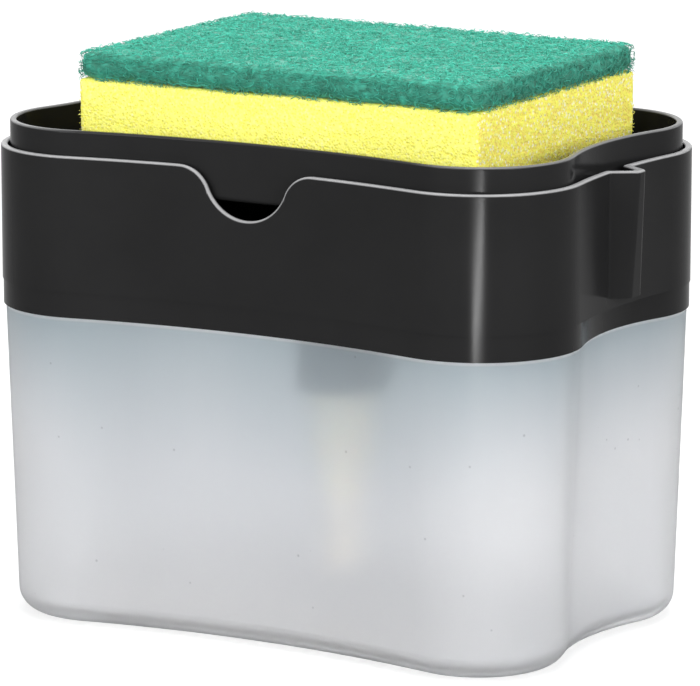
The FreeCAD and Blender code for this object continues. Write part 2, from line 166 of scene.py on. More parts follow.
class CaddyMouldingProps(bpy.types.PropertyGroup):
    """Colours of the moulded pieces."""

    black: bpy.props.FloatVectorProperty(
        name="Black plastic", description="Colour of the collar, tray, cap and nut",
        subtype="COLOR", size=4, min=0.0, max=1.0, default=(0.0145, 0.0145, 0.0148, 1.0))
    black_worn: bpy.props.FloatVectorProperty(
        name="Handled black", description="Colour of the black plastic where hands have dulled it",
        subtype="COLOR", size=4, min=0.0, max=1.0, default=(0.0172, 0.0172, 0.0175, 1.0))
    nut_grey: bpy.props.FloatVectorProperty(
        name="Nut", description="Colour of the pump nut's undyed dark plastic",
        subtype="COLOR", size=4, min=0.0, max=1.0, default=(0.13, 0.145, 0.165, 1.0))
    # Painted highlight: a pale grey line along the collar's rim and notch edges
    rim_highlight: bpy.props.FloatVectorProperty(
        name="Rim edge", description="Colour of the collar's rubbed rim and notch edges",
        subtype="COLOR", size=4, min=0.0, max=1.0, default=(0.33, 0.33, 0.335, 1.0))
    # Painted highlight: a grey line along the tray's rim
    tray_highlight: bpy.props.FloatVectorProperty(
        name="Tray edge", description="Colour of the tray's rubbed rim",
        subtype="COLOR", size=4, min=0.0, max=1.0, default=(0.17, 0.17, 0.173, 1.0))
    frosted: bpy.props.FloatVectorProperty(
        name="Frosted plastic", description="Colour of the reservoir's wall",
        subtype="COLOR", size=4, min=0.0, max=1.0, default=(0.865, 0.885, 0.91, 1.0))
    frosted_foot: bpy.props.FloatVectorProperty(
        name="Frosted plastic, foot", description="Colour of the reservoir towards its foot",
        subtype="COLOR", size=4, min=0.0, max=1.0, default=(0.985, 0.985, 0.995, 1.0))
    # Painted shade: the wall darker towards the neck, under the collar
    frosted_neck_shade: bpy.props.FloatVectorProperty(
        name="Frosted plastic, neck", description="Colour of the thicker wall towards the neck",
        subtype="COLOR", size=4, min=0.0, max=1.0, default=(0.63, 0.70, 0.735, 1.0))
    # The wall paler towards the lobes at the ends
    frosted_lobe: bpy.props.FloatVectorProperty(
        name="Frosted plastic, lobes", description="Colour of the thicker wall at the lobes",
        subtype="COLOR", size=4, min=0.0, max=1.0, default=(0.98, 0.985, 1.0, 1.0))
    frosted_clear: bpy.props.FloatProperty(
        name="Clearness", description="Share of light that passes through the frosted wall",
        subtype="FACTOR", min=0.0, max=1.0, default=0.80)
    ivory: bpy.props.FloatVectorProperty(
        name="Ivory plastic", description="Colour of the pump's housing and stem",
        subtype="COLOR", size=4, min=0.0, max=1.0, default=(0.93, 0.83, 0.675, 1.0))


class CaddySpongeProps(bpy.types.PropertyGroup):
    """Sizes and colours of the sponge."""

    foam_mesh: bpy.props.FloatProperty(
        name="Foam mesh", description="Side of the foam's mesh squares",
        unit="LENGTH", default=0.55 * MM)
    foam_cell: bpy.props.FloatProperty(
        name="Foam cell", description="Spacing of the foam's larger pores",
        unit="LENGTH", default=1.5 * MM)
    foam_depth: bpy.props.FloatProperty(
        name="Pore depth", description="Depth of the foam's pores",
        unit="LENGTH", default=0.26 * MM)
    foam_edge: bpy.props.FloatProperty(
        name="Foam edge", description="Radius of the foam's worn edges",
        unit="LENGTH", default=0.9 * MM)
    foam_struts: bpy.props.IntProperty(
        name="Foam struts", description="Number of cut cell walls that stand off the foam's sides",
        default=9000, min=0)
    foam_colour: bpy.props.FloatVectorProperty(
        name="Foam", description="Colour of the foam's cut cells",
        subtype="COLOR", size=4, min=0.0, max=1.0, default=(0.98, 0.93, 0.14, 1.0))
    # Painted shade inside the foam's pores
    foam_pore_shade: bpy.props.FloatVectorProperty(
        name="Foam pores", description="Colour inside the foam's pores",
        subtype="COLOR", size=4, min=0.0, max=1.0, default=(0.93, 0.68, 0.16, 1.0))
    pad_mesh: bpy.props.FloatProperty(
        name="Pad mesh", description="Side of the scouring pad's mesh squares",
        unit="LENGTH", default=0.8 * MM)
    pad_edge: bpy.props.FloatProperty(
        name="Pad edge", description="Radius of the scouring pad's edges",
        unit="LENGTH", default=2.0 * MM)
    pad_top_fibres: bpy.props.IntProperty(
        name="Top fibres", description="Number of fibres on the scouring pad's face",
        default=6200, min=0)
    pad_side_fibres: bpy.props.IntProperty(
        name="Side fibres", description="Number of fibres on the scouring pad's sides and edges",
        default=4200, min=0)
    pad_fibre_radius: bpy.props.FloatProperty(
        name="Fibre radius", description="Radius of the scouring pad's fibres",
        unit="LENGTH", default=0.075 * MM)
    # Painted shade deep between the fibres and on the shaded sides
    pad_deep_shade: bpy.props.FloatVectorProperty(
        name="Pad, deep", description="Colour deep between the scouring pad's fibres",
        subtype="COLOR", size=4, min=0.0, max=1.0, default=(0.006, 0.14, 0.085, 1.0))
    pad_light: bpy.props.FloatVectorProperty(
        name="Pad, fibres", description="Colour of the scouring pad's paler fibres",
        subtype="COLOR", size=4, min=0.0, max=1.0, default=(0.052, 0.60, 0.44, 1.0))


class CaddySpringProps(bpy.types.PropertyGroup):
    """Sizes of the return spring."""

    wire: bpy.props.FloatProperty(
        name="Wire", description="Diameter of the spring's wire", unit="LENGTH", default=0.7 * MM)
    turns: bpy.props.IntProperty(
        name="Turns", description="Turns of the spring, closed end turns included",
        default=7, min=3)


class CaddyStageProps(bpy.types.PropertyGroup):
    """Studio light, floor and camera."""

    floor_colour: bpy.props.FloatVectorProperty(
        name="Floor", description="Colour of the pale floor",
        subtype="COLOR", size=4, min=0.0, max=1.0, default=(0.38, 0.38, 0.38, 1.0))
    floor_radius: bpy.props.FloatProperty(
        name="Floor radius", description="Radius of the floor", unit="LENGTH", default=1.6)
    ambient: bpy.props.FloatProperty(
        name="Ambient", description="Strength of the even light of the room", default=0.42, min=0.0)
    lens: bpy.props.FloatProperty(
        name="Lens", description="Focal length of the camera", subtype="DISTANCE_CAMERA",
        default=273.3)
    azimuth: bpy.props.FloatProperty(
        name="Azimuth", description="Turn of the camera round the caddy from its front",
        subtype="ANGLE", default=math.radians(30.14))
    elevation: bpy.props.FloatProperty(
        name="Elevation", description="Height of the camera as an angle",
        subtype="ANGLE", default=math.radians(11.47))
    camera_place: bpy.props.FloatVectorProperty(
        name="Camera", description="Place of the camera", subtype="XYZ", unit="LENGTH", size=3,
        default=(0.56073, -0.96401, 0.28460))


# Material tools


def new_finish(name):
    """A procedural material, its node tree and its shader."""
    material = bpy.data.materials.new(name)
    material.use_nodes = True
    tree = material.node_tree
    return material, tree, tree.nodes["Principled BSDF"]


def add(tree, kind, inputs=None, **settings):
    """A node of that kind with its settings and unlinked inputs."""
    made = tree.nodes.new(kind)
    for key, value in settings.items():
        setattr(made, key, value)
    for key, value in (inputs or {}).items():
        made.inputs[key].default_value = value
    return made


def surface_place(tree, stretch=(1.0, 1.0, 1.0)):
    """Object coordinates in metres, stretched."""
    place = add(tree, "ShaderNodeTexCoord")
    mapping = add(tree, "ShaderNodeMapping", {"Scale": stretch})
    tree.links.new(place.outputs["Object"], mapping.inputs["Vector"])
    return mapping.outputs["Vector"]


def grain(tree, vector, size, detail=3.0, roughness=0.5):
    """Soft noise whose lumps have that size in metres."""
    made = add(tree, "ShaderNodeTexNoise",
               {"Scale": 1.0 / size, "Detail": detail, "Roughness": roughness})
    tree.links.new(vector, made.inputs["Vector"])
    return made.outputs["Fac"]


def cells(tree, vector, size, feature="F1"):
    """Distance pattern of cells of that size in metres."""
    made = add(tree, "ShaderNodeTexVoronoi", {"Scale": 1.0 / size}, feature=feature)
    tree.links.new(vector, made.inputs["Vector"])
    return made.outputs["Distance"]


def attribute(tree, name):
    """A piece's own attribute."""
    return add(tree, "ShaderNodeAttribute", attribute_name=name).outputs["Fac"]


def spread(tree, factor, low, high, start=0.3, end=0.7):
    """The factor from start to end, mapped to low to high."""
    made = add(tree, "ShaderNodeMapRange",
               {"From Min": start, "From Max": end, "To Min": low, "To Max": high})
    tree.links.new(factor, made.inputs["Value"])
    return made.outputs["Result"]


def tint(tree, factor, *stops):
    """A colour ramp over the factor; each stop is a position and a colour."""
    made = add(tree, "ShaderNodeValToRGB")
    ramp = made.color_ramp
    while len(ramp.elements) < len(stops):
        ramp.elements.new(0.5)
    for element, (position, colour) in zip(ramp.elements, stops):
        element.position = position
        element.color = tuple(colour)
    tree.links.new(factor, made.inputs["Fac"])
    return made.outputs["Color"]


def over(tree, factor, under, colour):
    """A colour laid over another by the factor; either may be plain."""
    made = add(tree, "ShaderNodeMix", data_type="RGBA")
    tree.links.new(factor, made.inputs[0])
    for socket, value in ((6, under), (7, colour)):
        if isinstance(value, bpy.types.NodeSocket):
            tree.links.new(value, made.inputs[socket])
        else:
            made.inputs[socket].default_value = tuple(value)
    return made.outputs[2]


def combine(tree, operation, first, second):
    """Two factors put together by a maths operation."""
    made = add(tree, "ShaderNodeMath", operation=operation)
    for socket, value in zip(made.inputs, (first, second)):
        if isinstance(value, (int, float)):
            socket.default_value = value
        else:
            tree.links.new(value, socket)
    return made.outputs["Value"]


def relief(tree, height, depth, strength=1.0, under=None):
    """A bump of that depth in metres, on top of another if given."""
    made = add(tree, "ShaderNodeBump", {"Strength": strength, "Distance": depth})
    tree.links.new(height, made.inputs["Height"])
    if under is not None:
        tree.links.new(under, made.inputs["Normal"])
    return made.outputs["Normal"]


def set_shader(shader, values):
    """Plain values on the shader's own sockets."""
    for key, value in values.items():
        shader.inputs[key].default_value = value


def dress(nodes, material):
    """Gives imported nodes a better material."""
    for name in nodes:
        node = frame["nodes"][name]
        if not node.material_slots:
            node.data.materials.append(material)
        for mesh_slot in node.material_slots:
            mesh_slot.material = material


# Finishes


def edge_band(tree, distance, width):
    """1 at an edge, falling to 0 at that width from it."""
    return spread(tree, distance, 1.0, 0.0, 0.5 * width, width)


def parts_of(tree):
    """The object coordinates' three parts."""
    place = add(tree, "ShaderNodeTexCoord").outputs["Object"]
    apart = add(tree, "ShaderNodeSeparateXYZ")
    tree.links.new(place, apart.inputs["Vector"])
    return [apart.outputs[axis] for axis in "XYZ"]


def collar_highlight(tree, rim):
    """Mask of the painted highlight: 1 along the collar's rim and the outer edge of its
    round-bottomed finger notches.
    """
    x, y, height = parts_of(tree)
    reach = NOTCH_BOTTOM_RADIUS + NOTCH_RIM_RADIUS
    half = math.sqrt(reach ** 2 - (reach - NOTCH_DEPTH) ** 2)
    aside = combine(tree, "ABSOLUTE", x, 0.0)

    def from_centre(across, up, centre):
        point = add(tree, "ShaderNodeCombineXYZ")
        tree.links.new(across, point.inputs["X"])
        tree.links.new(up, point.inputs["Z"])
        made = add(tree, "ShaderNodeVectorMath", {1: centre}, operation="DISTANCE")
        tree.links.new(point.outputs["Vector"], made.inputs[0])
        return made.outputs["Value"]

    bottom = from_centre(aside, height, (0.0, 0.0, rim - NOTCH_DEPTH + NOTCH_BOTTOM_RADIUS))
    below = combine(tree, "SUBTRACT", bottom, NOTCH_BOTTOM_RADIUS)
    capped = combine(tree, "MINIMUM", aside, half)
    raised = combine(tree, "MAXIMUM", height, rim - NOTCH_RIM_RADIUS)
    eased = from_centre(capped, raised, (half, 0.0, rim - NOTCH_RIM_RADIUS))
    inside = combine(tree, "SUBTRACT", NOTCH_RIM_RADIUS, eased)
    beside = combine(tree, "GREATER_THAN", aside, half * NOTCH_BOTTOM_RADIUS / reach)
    chosen = add(tree, "ShaderNodeMix", data_type="FLOAT")
    for socket, value in zip((0, 2, 3), (beside, below, inside)):
        tree.links.new(value, chosen.inputs[socket])
    band = edge_band(tree, chosen.outputs[0], RIM_LINE)
    hollow = combine(tree, "MULTIPLY", combine(tree, "MULTIPLY", aside, aside), 0.5 / SIDE_RADIUS)
    out = combine(tree, "SUBTRACT", combine(tree, "ABSOLUTE", y, 0.0), hollow)
    face = 0.5 * (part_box("collar")[1].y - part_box("collar")[0].y) - SIDE_HOLLOW
    front = spread(tree, out, 0.0, 1.0, face - NOTCH_FACE_START, face - NOTCH_FACE_FULL)
    outside = combine(tree, "GREATER_THAN", aside, half)
    return combine(tree, "MULTIPLY", band, combine(tree, "MAXIMUM", front, outside))


def tray_highlight(tree, rim):
    """Mask of the painted highlight along the tray's rim: full at its ends and faint in the middle.
    """
    x, _, height = parts_of(tree)
    band = edge_band(tree, combine(tree, "SUBTRACT", rim, height), TRAY_LINE)
    aside = combine(tree, "ABSOLUTE", x, 0.0)
    ends = spread(tree, aside, 0.12, 1.0, TRAY_LINE_START, TRAY_LINE_FULL)
    return combine(tree, "MULTIPLY", band, ends)


def black_plastic(name, fresh, worn, edge=None, rim=0.0, highlight_colour=None):
    """Satin black moulded plastic with faint handling marks, and a painted highlight along its rim
    where an edge mask is given.
    """
    material, tree, shader = new_finish(name)
    place = surface_place(tree)
    smudge = grain(tree, place, 26 * MM, detail=5.0, roughness=0.55)
    fine = grain(tree, place, 0.5 * MM, detail=2.0)
    colour = tint(tree, smudge, (0.35, fresh), (0.7, worn))
    rough = combine(tree, "ADD", spread(tree, smudge, 0.165, 0.19),
                    spread(tree, fine, -0.01, 0.01))
    # Painted highlight: a paler grey along the rim where the edge mask is 1, broken a little by
    # noise
    if edge:
        highlight_breaks = spread(tree, grain(tree, place, 2.2 * MM, detail=4.0), 0.88, 1.0)
        highlighted = combine(tree, "MULTIPLY", edge(tree, rim), highlight_breaks)
        colour = over(tree, highlighted, colour, highlight_colour)
    tree.links.new(colour, shader.inputs["Base Color"])
    tree.links.new(rough, shader.inputs["Roughness"])
    tree.links.new(relief(tree, fine, 0.01 * MM, 0.12), shader.inputs["Normal"])
    set_shader(shader, {"IOR": 1.49, "Specular IOR Level": 0.07})
    return material


def frosted_plastic(props):
    """Frosted translucent plastic with soft flow bands, painted shade towards the neck under the
    collar, paler towards the foot and the lobes, a painted highlight along the shoulder and a few
    specks.
    """
    material, tree, shader = new_finish("frosted_plastic_translucent")
    place = surface_place(tree)
    bands = grain(tree, surface_place(tree, (1.0, 1.0, 0.10)), 16 * MM, detail=3.0)
    frost = grain(tree, place, 0.8 * MM, detail=2.0)
    x, _, height = parts_of(tree)
    level = spread(tree, height, 0.0, 1.0, 0.0, SHOULDER_Z)
    swayed = combine(tree, "ADD", level, spread(tree, bands, -0.03, 0.03))
    # Paler towards the foot; painted shade darker towards the neck, under the collar
    wall = tint(tree, swayed, (0.10, props.frosted_foot), (0.55, props.frosted),
                (0.98, props.frosted_neck_shade))
    # Paler towards the lobes at the ends, fading out towards the neck
    lobes = spread(tree, combine(tree, "ABSOLUTE", x, 0.0), 0.0, 1.0, LOBE_START, LOBE_FULL)
    lobes = combine(tree, "MULTIPLY", lobes, spread(tree, swayed, 1.0, 0.0, 0.55, 0.98))
    paler = over(tree, lobes, wall, props.frosted_lobe)
    # Painted highlight: a white line along the shoulder, under the collar's edge
    shoulder_highlight = spread(tree, height, 0.0, 1.0, SEAM_START, SEAM_FULL)
    shoulder_lit = over(tree, shoulder_highlight, paler, SEAM_HIGHLIGHT)
    speck = spread(tree, cells(tree, place, 6 * MM), 0.55, 1.0, 0.03, 0.06)
    specked = over(tree, speck, SPECK_GREY, shoulder_lit)
    tree.links.new(specked, shader.inputs["Base Color"])
    rough = combine(tree, "ADD", spread(tree, bands, 0.305, 0.325),
                    spread(tree, frost, -0.01, 0.01))
    tree.links.new(rough, shader.inputs["Roughness"])
    set_shader(shader, {
        "Transmission Weight": props.frosted_clear, "IOR": 1.2, "Specular IOR Level": 0.4})
    return material


def ivory_plastic(props):
    """Natural ivory pump plastic, a little waxy."""
    material, tree, shader = new_finish("ivory_plastic_natural")
    place = surface_place(tree)
    mottle = grain(tree, place, 6 * MM, detail=5.0)
    fine = grain(tree, place, 0.35 * MM)
    paler = [min(1.0, 1.06 * c) for c in props.ivory[:3]] + [1.0]
    colour = tint(tree, mottle, (0.3, props.ivory), (0.7, paler))
    tree.links.new(colour, shader.inputs["Base Color"])
    tree.links.new(spread(tree, mottle, 0.36, 0.48), shader.inputs["Roughness"])
    tree.links.new(relief(tree, fine, 0.02 * MM, 0.2), shader.inputs["Normal"])
    set_shader(shader, {
        "Subsurface Weight": 0.2, "Subsurface Radius": (1.0, 0.8, 0.5),
        "Subsurface Scale": 0.8 * MM, "IOR": 1.5})
    return material


def tube_plastic():
    """Milky tube that lets some light through."""
    material, tree, shader = new_finish("tube_plastic_milky")
    drawn = surface_place(tree, (1.0, 1.0, 0.08))
    streak = grain(tree, drawn, 1.2 * MM, detail=4.0)
    colour = tint(tree, streak, *zip((0.3, 0.7), TUBE_COLOURS))
    tree.links.new(colour, shader.inputs["Base Color"])
    tree.links.new(spread(tree, streak, 0.26, 0.40), shader.inputs["Roughness"])
    tree.links.new(relief(tree, streak, 0.02 * MM, 0.2), shader.inputs["Normal"])
    set_shader(shader, {"Transmission Weight": 0.15, "IOR": 1.5})
    return material


def seal_rubber():
    """Soft natural seal rubber."""
    material, tree, shader = new_finish("seal_rubber_natural")
    place = surface_place(tree)
    mottle = grain(tree, place, 2.5 * MM, detail=6.0, roughness=0.65)
    fine = grain(tree, place, 0.25 * MM)
    colour = tint(tree, mottle, *zip((0.3, 0.7), RUBBER_COLOURS))
    tree.links.new(colour, shader.inputs["Base Color"])
    tree.links.new(spread(tree, mottle, 0.55, 0.75), shader.inputs["Roughness"])
    tree.links.new(relief(tree, fine, 0.03 * MM, 0.4), shader.inputs["Normal"])
    set_shader(shader, {"Specular IOR Level": 0.35})
    return material


def bright_steel(name, low, high, stretch, size):
    """Steel with fine drawn or rolled marks."""
    material, tree, shader = new_finish(name)
    marks = grain(tree, surface_place(tree, stretch), size, detail=5.0, roughness=0.7)
    colour = tint(tree, marks, *zip((0.3, 0.7), STEEL_COLOURS))
    tree.links.new(colour, shader.inputs["Base Color"])
    tree.links.new(spread(tree, marks, low, high), shader.inputs["Roughness"])
    tree.links.new(relief(tree, marks, 0.01 * MM, 0.2), shader.inputs["Normal"])
    set_shader(shader, {"Metallic": 1.0})
    return material


def yellow_foam(props):
    """Open-cell foam: paler cut walls, painted shade deeper in the pores and over the sides cut
    across its rise, and a painted sparkle of highlights on the cells.
    """
    material, tree, shader = new_finish("yellow_foam_open_cell")
    place = surface_place(tree)
    pore_shade = attribute(tree, "pore_shade")
    small = cells(tree, place, 0.62 * MM)
    tiny = grain(tree, place, 0.35 * MM, detail=2.0)
    # Painted shade: darker and more golden deeper in the pores and pits; the shallow cut walls stay
    # pale
    depth = combine(tree, "ADD", combine(tree, "MULTIPLY", pore_shade, 0.55),
                    combine(tree, "MULTIPLY", spread(tree, small, 1.0, 0.0, 0.05, 0.6), 0.45))
    colour = tint(tree, depth, (0.05, FOAM_PALE), (0.30, props.foam_colour),
                  (0.85, props.foam_pore_shade))
    # Painted highlight: pale sparkles on the cells, more where the pore shade is deeper
    glint = spread(tree, cells(tree, place, 1.0 * MM), 1.0, 0.0, 0.20, 0.42)
    glint = combine(tree, "MULTIPLY", glint, spread(tree, pore_shade, 0.12, 0.9, 0.10, 0.60))
    glinted = over(tree, glint, colour, FOAM_GLINT)
    tree.links.new(glinted, shader.inputs["Base Color"])
    tree.links.new(spread(tree, tiny, 0.72, 0.95), shader.inputs["Roughness"])
    pitted = relief(tree, spread(tree, small, 0.0, 1.0, 0.05, 0.6), 0.25 * MM, 0.8)
    tree.links.new(relief(tree, tiny, 0.1 * MM, 0.5, pitted), shader.inputs["Normal"])
    set_shader(shader, {
        "Subsurface Weight": 0.35, "Subsurface Radius": (1.0, 0.9, 0.25),
        "Subsurface Scale": 1.2 * MM, "Specular IOR Level": 0.25})
    return material


def green_fibre(props):
    """Non-woven abrasive fibre, each fibre with its own shade, partly random tone and partly
    painted shade: darker on the sides and towards the foot, lighter on the face and its loops, with
    a painted glint on the lightest.
    """
    material, tree, shader = new_finish("green_fibre_nonwoven")
    place = surface_place(tree)
    shade = attribute(tree, "fibre_shade")
    patch = grain(tree, place, 5 * MM, detail=5.0, roughness=0.65)
    tangle = grain(tree, place, 0.5 * MM, detail=3.0, roughness=0.6)
    mixed = combine(tree, "ADD", combine(tree, "MULTIPLY", shade, 0.62),
                    combine(tree, "MULTIPLY", combine(tree, "ADD", patch, tangle), 0.19))
    middle = [0.5 * (a + b) for a, b in zip(props.pad_deep_shade, props.pad_light)]
    # Painted shade at the deep end of the ramp, a painted glint at the light end
    colour = tint(tree, mixed, (0.12, props.pad_deep_shade), (0.50, middle), (0.78, props.pad_light),
                  (0.97, FIBRE_GLINT))
    tree.links.new(colour, shader.inputs["Base Color"])
    tree.links.new(spread(tree, tangle, 0.45, 0.70), shader.inputs["Roughness"])
    tree.links.new(relief(tree, tangle, 0.25 * MM, 0.7), shader.inputs["Normal"])
    set_shader(shader, {"Specular IOR Level": 0.4, "Sheen Weight": 0.15, "Sheen Roughness": 0.5})
    return material


# Modelling tools


def new_piece(name, mesh, material, body, replaced=()):
    """A finished piece at the origin, on its body, in its material slot."""
    mesh.materials.clear()
    mesh.materials.append(material)
    piece = bpy.data.objects.new(name, mesh)
    bpy.context.scene.collection.objects.link(piece)
    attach(piece, body)
    if replaced:
        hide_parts(*replaced)
    return piece


def mesh_of(shape, name, smooth=True):
    """A mesh from a bmesh, which is freed."""
    mesh = bpy.data.meshes.new(name)
    shape.to_mesh(mesh)
    shape.free()
    mesh.polygons.foreach_set("use_smooth", [smooth] * len(mesh.polygons))
    return mesh


def soft_block(low, high, edge, square):
    """A block with rounded edges, cut into squares of about that side."""
    shape = bmesh.new()
    bmesh.ops.create_cube(shape, size=1.0)
    bmesh.ops.scale(shape, vec=high - low, verts=shape.verts)
    bmesh.ops.translate(shape, vec=0.5 * (low + high), verts=shape.verts)
    bmesh.ops.bevel(shape, geom=shape.edges[:], offset=edge, segments=2, profile=0.5,
                    affect="EDGES", material=-1)
    for axis in range(3):
        long_edges = []
        for line in shape.edges:
            run = line.verts[1].co - line.verts[0].co
            if abs(run[axis]) > 0.99 * run.length and run.length > 2.0 * square:
                long_edges.append(line)
        cuts = round((high[axis] - low[axis] - 2.0 * edge) / square) - 1
        bmesh.ops.subdivide_edges(shape, edges=long_edges, cuts=cuts, use_grid_fill=True)
    bmesh.ops.recalc_face_normals(shape, faces=shape.faces)
    return shape


def pore_depth(point, cell):
    """How deep a point of the foam's skin lies in its pores, from 0 to 1."""
    total = 0.0
    for share, size, shift in PORE_LAYERS:
        nearest = noise.voronoi(point / (size * cell) + Vector((shift, shift, shift)))[0]
        inside = 1.0 - min(1.0, nearest[0] / PORE_RADIUS)
        ridge = min(1.0, (nearest[1] - nearest[0]) / PORE_WALL)
        total += share * (0.6 * inside + 0.4 * ridge * inside ** 0.5)
    return min(1.0, total)


def strands(name, paths):
    """A mesh of thin tapered strands; each path is a list of points with radii."""
    curve = bpy.data.curves.new(name, "CURVE")
    curve.dimensions = "3D"
    curve.bevel_depth = 1.0
    curve.bevel_resolution = 0
    curve.use_fill_caps = True
    for path in paths:
        spline = curve.splines.new("POLY")
        spline.points.add(len(path) - 1)
        for knot, (place, radius) in zip(spline.points, path):
            knot.co = (*place, 1.0)
            knot.radius = radius
    holder = bpy.data.objects.new(name, curve)
    bpy.context.scene.collection.objects.link(holder)
    bpy.context.view_layer.update()
    graph = bpy.context.evaluated_depsgraph_get()
    mesh = bpy.data.meshes.new_from_object(holder.evaluated_get(graph))
    bpy.data.objects.remove(holder, do_unlink=True)
    bpy.data.curves.remove(curve)
    return mesh


def write_attribute(mesh, name, values):
    """A float attribute on the mesh's points."""
    made = mesh.attributes.new(name, "FLOAT", "POINT")
    made.data.foreach_set("value", values)


# Operators, one for each piece or group of like pieces


class CADDY_OT_black_mouldings(bpy.types.Operator):
    """Finish the collar, press tray, outlet cap and pump nut in satin black, with painted
    highlights along the collar's and tray's rims
    """

    bl_idname = "caddy.black_mouldings"
    bl_label = "Black mouldings"

    def execute(self, context):
        props = context.scene.caddy_moulding
        rim, tray_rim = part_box("collar")[1].z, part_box("press_tray")[1].z
        black = (props.black, props.black_worn)
        collar = black_plastic("black_plastic_collar", *black, collar_highlight, rim, props.rim_highlight)
        dress(("collar",), collar)
        tray = black_plastic("black_plastic_tray", *black, tray_highlight, tray_rim, props.tray_highlight)
        dress(("press_tray",), tray)
        dress(("outlet_cap",), black_plastic("black_plastic_satin", *black))
        dress(("pump_nut",), black_plastic("black_plastic_nut", props.nut_grey, props.nut_grey))
        return {"FINISHED"}


class CADDY_OT_reservoir(bpy.types.Operator):
    """Finish the reservoir in frosted plastic"""

    bl_idname = "caddy.reservoir"
    bl_label = "Reservoir"

    def execute(self, context):
        dress(("reservoir",), frosted_plastic(context.scene.caddy_moulding))
        return {"FINISHED"}


class CADDY_OT_pump_parts(bpy.types.Operator):
    """Finish the housing, stem, tube, seals and check balls of the pump"""

    bl_idname = "caddy.pump_parts"
    bl_label = "Pump parts"

    def execute(self, context):
        dress(IVORY_NODES, ivory_plastic(context.scene.caddy_moulding))
        dress(("dip_tube",), tube_plastic())
        dress(RUBBER_NODES, seal_rubber())
        ball_steel = bright_steel("ball_steel_polished", 0.06, 0.16, (1.0, 1.0, 1.0), 0.8 * MM)
        dress(BALL_NODES, ball_steel)
        return {"FINISHED"}


class CADDY_OT_return_spring(bpy.types.Operator):
    """Wind the return spring, which shortens as the tray goes down, as a fixed coil the length of
    the imported spring, on the pump collar
    """

    bl_idname = "caddy.return_spring"
    bl_label = "Return spring"

    def execute(self, context):
        props = context.scene.caddy_spring
        low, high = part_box("return_spring")
        radius = 0.5 * (high.x - low.x) - 0.5 * props.wire
        length = high.z - low.z
        rise = length - props.wire
        closed = props.wire * CLOSED_PITCH
        active = (rise - 2.0 * closed) / (props.turns - 2)
        shape = bmesh.new()
        made = bmesh.ops.create_circle(
            shape, segments=8, radius=0.5 * props.wire,
            matrix=Matrix.Translation((radius, 0.0, low.z + 0.5 * props.wire))
            @ Matrix.Rotation(math.radians(90.0), 4, "X"))
        ring = list({line for vert in made["verts"] for line in vert.link_edges})
        first = bmesh.ops.contextual_create(shape, geom=ring)["faces"]
        for pitch, turns in ((closed, 1), (active, props.turns - 2), (closed, 1)):
            swept = bmesh.ops.spin(
                shape, geom=ring, cent=(0.0, 0.0, 0.0), axis=(0.0, 0.0, 1.0),
                dvec=(0.0, 0.0, pitch / SPRING_STEPS), angle=2.0 * math.pi * turns,
                steps=SPRING_STEPS * turns)
            ring = [item for item in swept["geom_last"] if isinstance(item, bmesh.types.BMEdge)]
        bmesh.ops.contextual_create(shape, geom=ring)
        if not first:
            raise RuntimeError("the spring's first end was not closed")
        bmesh.ops.recalc_face_normals(shape, faces=shape.faces)
        material = bright_steel("spring_steel_drawn", 0.24, 0.40, (1.0, 1.0, 1.0), 0.35 * MM)
        piece = new_piece("return_spring_coil", mesh_of(shape, "return_spring_coil"), material,
                          "pump_collar", ("return_spring",))
        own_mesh(piece)
        return {"FINISHED"}


class CADDY_OT_sponge_foam(bpy.types.Operator):
    """Cut the foam block, with its pores and the cell walls that stand off its sides"""

    bl_idname = "caddy.sponge_foam"
    bl_label = "Sponge foam"

    def execute(self, context):
        props = context.scene.caddy_sponge
        low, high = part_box("sponge_foam")
        skin = Vector((FOAM_SKIN, FOAM_SKIN, 0.0))
        shape = soft_block(low + skin, high - skin, props.foam_edge, props.foam_mesh)
        pores = []
        shape.normal_update()
        for vert in shape.verts:
            depth = pore_depth(vert.co, props.foam_cell)
            wave = noise.noise(vert.co / FOAM_WAVE_LENGTH) * FOAM_WAVE
            cut_across = abs(vert.normal.x)
            vert.co += vert.normal * (wave - props.foam_depth * depth * (0.6 + 0.9 * cut_across))
            # Painted shade: the pores show more on the sides cut across the foam's rise, and a
            # painted shade lies over the whole of those sides
            pores.append(min(1.0, depth * (0.5 + 0.6 * cut_across) + 0.45 * cut_across))
        shell = mesh_of(shape, "sponge_foam_block")
        write_attribute(shell, "pore_shade", pores)
        material = yellow_foam(props)
        piece = new_piece("sponge_foam_block", shell, material, "sponge",
                          ("sponge_foam",))
        draw = random.Random(4)
        centre, half = 0.5 * (low + high), 0.5 * (high - low)
        paths = []
        for _ in range(props.foam_struts):
            side = draw.random() * (half.x + half.y)
            sign = draw.choice((-1.0, 1.0))
            along, across = (0, 1) if side < half.x else (1, 0)
            root = centre.copy()
            root[along] += draw.uniform(-1.0, 1.0) * (half[along] - STRUT_ROOT)
            root[across] += sign * (half[across] - STRUT_ROOT)
            root.z += draw.uniform(-1.0, 1.0) * (half.z - STRUT_END)
            lean = Vector([draw.uniform(-1, 1) for _ in range(3)]) * STRUT_LEAN
            lean[across] = sign * draw.uniform(*STRUT_REACH) * MM
            paths.append(list(zip((root, root + 0.55 * lean, root + lean), STRUT_RADII)))
        walls = strands("sponge_foam_struts", paths)
        write_attribute(walls, "pore_shade", [0.0] * len(walls.vertices))
        new_piece("sponge_foam_struts", walls, material, "sponge")
        return {"FINISHED"}


